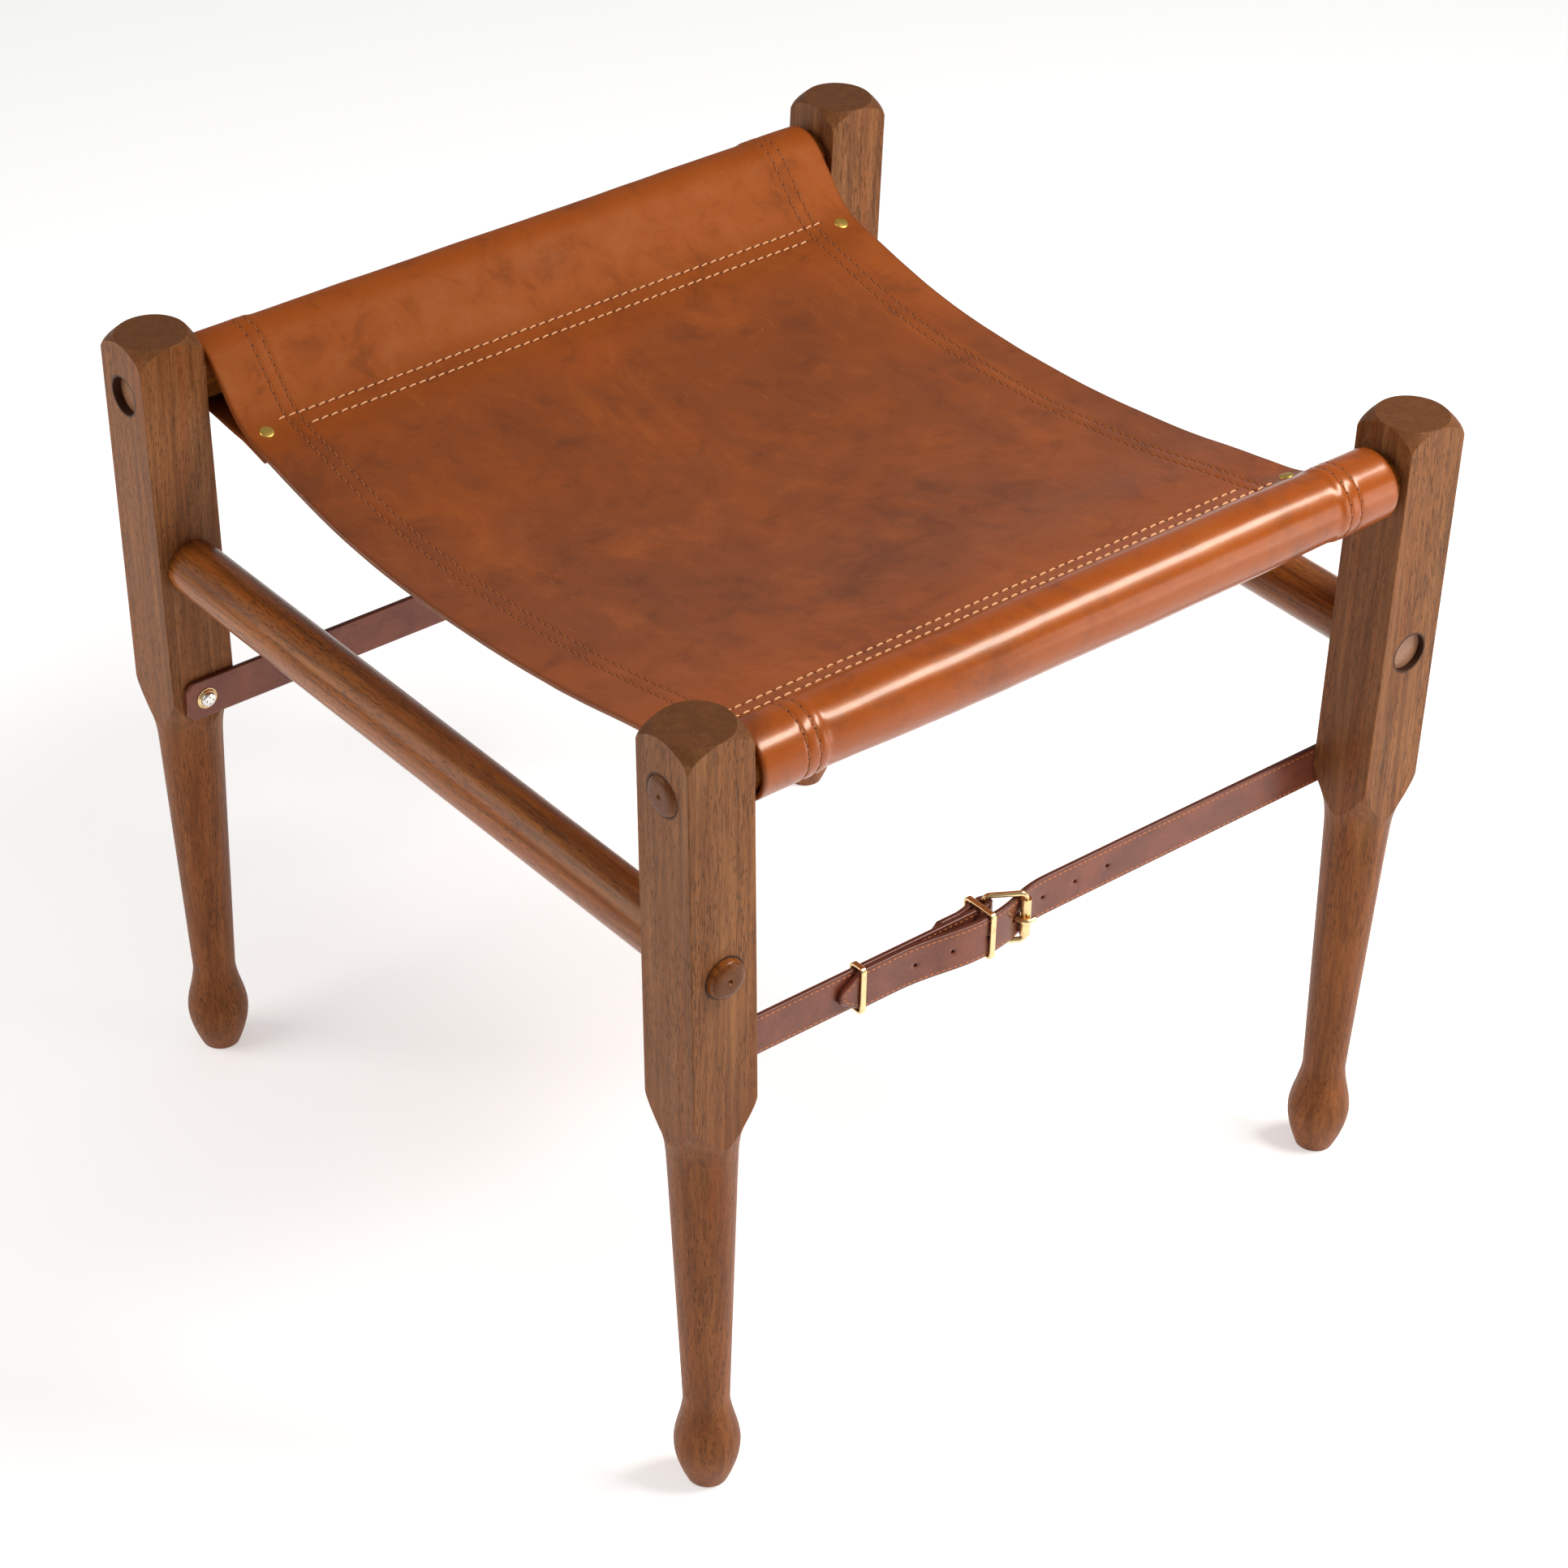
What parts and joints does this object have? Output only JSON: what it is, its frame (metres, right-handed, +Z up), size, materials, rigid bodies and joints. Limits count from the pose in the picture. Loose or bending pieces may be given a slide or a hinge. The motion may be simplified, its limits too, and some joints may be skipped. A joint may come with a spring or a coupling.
{
  "type": "safari stool",
  "caption": "Knock-down stool: square-to-turned wooden legs, tapered rails, a leather sling seat sewn round two rails, and belts with roller buckles drawing the legs together.",
  "frame": {"origin": "on the floor, in the middle of the four feet", "axes": "+Z up, +X along the seat rails to the right seen from the front belt, +Y from the front rail to the rear rail"},
  "size_m": [0.492, 0.493, 0.4586],
  "materials": {
    "leg_wood": "oiled satin",
    "rail_wood": "polished satin",
    "sling_leather": "waxed bridle leather, glossy",
    "belt_leather": "dark brown, satin",
    "brass": "polished",
    "screw_steel": "bright plated"
  },
  "bodies": {
    "stool_frame": {"front_left_leg": "leg_wood", "front_right_leg": "leg_wood", "rear_left_leg": "leg_wood", "rear_right_leg": "leg_wood", "leather_sling": "sling_leather", "seam_rivets": "brass", "strap_screws": "screw_steel", "strap_cup_washers": "brass", "front_buckle_strap": "belt_leather", "front_billet_strap": "belt_leather", "front_buckle_frame": "brass", "rear_buckle_strap": "belt_leather", "rear_billet_strap": "belt_leather", "rear_buckle_frame": "brass"},
    "front_seat_rail": {"front_seat_rail": "rail_wood"},
    "rear_seat_rail": {"rear_seat_rail": "rail_wood"},
    "left_dowel": {"left_dowel": "rail_wood"},
    "right_dowel": {"right_dowel": "rail_wood"},
    "front_buckle_roller": {"front_buckle_roller": "brass"},
    "front_buckle_prong": {"front_buckle_prong": "brass"},
    "front_inner_keeper": {"front_inner_keeper": "brass"},
    "front_outer_keeper": {"front_outer_keeper": "brass"},
    "rear_buckle_roller": {"rear_buckle_roller": "brass"},
    "rear_buckle_prong": {"rear_buckle_prong": "brass"},
    "rear_inner_keeper": {"rear_inner_keeper": "brass"},
    "rear_outer_keeper": {"rear_outer_keeper": "brass"}
  },
  "joints": [
    {"name": "front_seat_rail_turn", "type": "hinge", "parent": "stool_frame", "child": "front_seat_rail", "pos_m": [0, -0.223, 0.4275], "axis": [1, 0, 0], "continuous": true},
    {"name": "rear_seat_rail_turn", "type": "hinge", "parent": "stool_frame", "child": "rear_seat_rail", "pos_m": [0, 0.223, 0.4275], "axis": [1, 0, 0], "continuous": true},
    {"name": "left_dowel_turn", "type": "hinge", "parent": "stool_frame", "child": "left_dowel", "pos_m": [-0.2224, 0, 0.328], "axis": [0, 1, 0], "continuous": true},
    {"name": "right_dowel_turn", "type": "hinge", "parent": "stool_frame", "child": "right_dowel", "pos_m": [0.2224, 0, 0.328], "axis": [0, 1, 0], "continuous": true},
    {"name": "front_roller_spin", "type": "hinge", "parent": "stool_frame", "child": "front_buckle_roller", "pos_m": [-0.00553, -0.2103, 0.246], "axis": [0, 0, 1], "continuous": true},
    {"name": "front_prong_lift", "type": "hinge", "parent": "stool_frame", "child": "front_buckle_prong", "pos_m": [-0.024, -0.1993, 0.246], "axis": [0, 0, -1], "range_deg": [0, 4]},
    {"name": "front_inner_keeper_slide", "type": "slide", "parent": "stool_frame", "child": "front_inner_keeper", "axis": [-1, 0, 0], "range_m": [-0.0025, 0.003]},
    {"name": "front_outer_keeper_slide", "type": "slide", "parent": "stool_frame", "child": "front_outer_keeper", "axis": [-1, 0, 0], "range_m": [-0.02, 0.088]},
    {"name": "rear_roller_spin", "type": "hinge", "parent": "stool_frame", "child": "rear_buckle_roller", "pos_m": [0.00553, 0.2103, 0.246], "axis": [0, 0, 1], "continuous": true},
    {"name": "rear_prong_lift", "type": "hinge", "parent": "stool_frame", "child": "rear_buckle_prong", "pos_m": [0.024, 0.1993, 0.246], "axis": [0, 0, -1], "range_deg": [0, 4]},
    {"name": "rear_inner_keeper_slide", "type": "slide", "parent": "stool_frame", "child": "rear_inner_keeper", "axis": [1, 0, 0], "range_m": [-0.0025, 0.003]},
    {"name": "rear_outer_keeper_slide", "type": "slide", "parent": "stool_frame", "child": "rear_outer_keeper", "axis": [1, 0, 0], "range_m": [-0.02, 0.088]}
  ]
}
